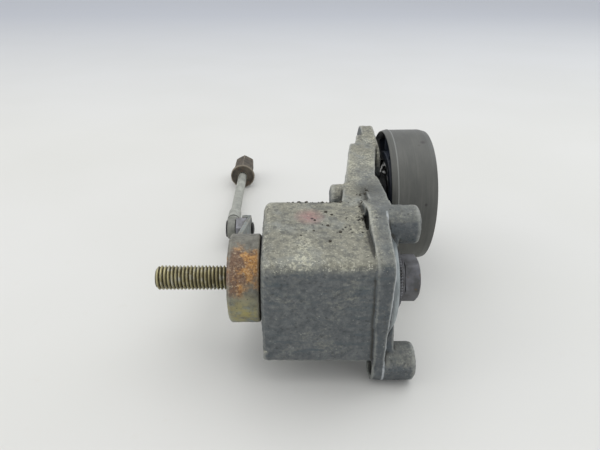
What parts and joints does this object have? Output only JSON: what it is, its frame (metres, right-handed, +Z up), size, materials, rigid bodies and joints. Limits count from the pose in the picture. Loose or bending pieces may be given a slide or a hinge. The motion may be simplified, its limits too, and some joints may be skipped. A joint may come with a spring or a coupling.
{
  "type": "belt tensioner idler",
  "caption": "Square-bodied rubber-spring belt tensioner on a central bolt, with a cast arm carrying a flat ribbed idler pulley, and a lever with a swivelling tension rod.",
  "frame": {"origin": "on the central bolt's axis, at the rear face of the lever's hub, where it is clamped to the engine", "axes": "+X runs along the central bolt from the engine to the bolt's head, +Z is up and +Y runs from the bolt towards the pulley and the tension rod"},
  "size_m": [0.1273, 0.2311, 0.0744],
  "materials": {
    "cast_aluminium": "rough cast, dusty and pitted",
    "zinc_bolt": "worn yellow zinc",
    "dark_steel": "darkened steel",
    "disc_steel": "light zinc, satin",
    "lever_steel": "zinc with orange rust",
    "core_steel": "plain",
    "black_rubber": "matt",
    "rod_steel": "dull zinc",
    "rusty_nut": "brown rust",
    "race_steel": "ground",
    "cage_brass": "satin",
    "bush_plastic": "matt",
    "pulley_plastic": "satin, dark olive grey"
  },
  "bodies": {
    "clamp": {"central_bolt": "zinc_bolt", "plain_washer": "dark_steel", "serrated_washer": "dark_steel", "front_disc": "disc_steel"},
    "lever": {"tension_lever": "lever_steel", "core": "core_steel", "rubber_cord_1": "black_rubber", "rubber_cord_2": "black_rubber", "rubber_cord_3": "black_rubber", "rubber_cord_4": "black_rubber", "rear_seal": "black_rubber", "swivel_stud": "rod_steel", "stud_nut": "rod_steel"},
    "arm": {"housing_arm": "cast_aluminium", "front_bush": "bush_plastic", "pulley_bolt": "zinc_bolt", "pulley_washer": "disc_steel", "bearing_inner_ring": "race_steel"},
    "pulley": {"pulley_wheel": "pulley_plastic", "bearing_outer_ring": "race_steel", "bearing_seal_rear": "black_rubber", "bearing_seal_front": "black_rubber", "dust_cap": "pulley_plastic"},
    "cage": {"bearing_cage": "cage_brass", "bearing_ball_1": "race_steel", "bearing_ball_2": "race_steel", "bearing_ball_3": "race_steel", "bearing_ball_4": "race_steel", "bearing_ball_5": "race_steel", "bearing_ball_6": "race_steel", "bearing_ball_7": "race_steel", "bearing_ball_8": "race_steel"},
    "rod": {"tension_rod": "rod_steel"},
    "nut": {"tension_nut": "rusty_nut"}
  },
  "joints": [
    {"name": "tension_adjust", "type": "hinge", "parent": "clamp", "child": "lever", "pos_m": [0, 0, 0], "axis": [1, 0, 0], "range_deg": [-20, 20]},
    {"name": "arm_swing", "type": "hinge", "parent": "lever", "child": "arm", "pos_m": [0, 0, 0], "axis": [1, 0, 0], "range_deg": [-30, 30], "stiffness_Nm_per_rad": 40, "deforming": ["rubber_cord_1", "rubber_cord_2", "rubber_cord_3", "rubber_cord_4"]},
    {"name": "pulley_spin", "type": "hinge", "parent": "arm", "child": "pulley", "pos_m": [0.0823, 0.0788, 0.0017], "axis": [1, 0, 0], "continuous": true},
    {"name": "cage_spin", "type": "hinge", "parent": "arm", "child": "cage", "pos_m": [0.0823, 0.0788, 0.0017], "axis": [1, 0, 0], "continuous": true},
    {"name": "rod_swivel", "type": "hinge", "parent": "lever", "child": "rod", "pos_m": [-0.0092, 0.092, -0.027], "axis": [1, 0, 0], "range_deg": [-150, 150]},
    {"name": "nut_spin", "type": "hinge", "parent": "rod", "child": "nut", "pos_m": [-0.0092, 0.17699, -0.02848], "axis": [0, 0.9998, -0.0175], "continuous": true}
  ],
  "couplings": [
    {"joint": "cage_spin", "follows": "pulley_spin", "ratio": 0.618}
  ]
}
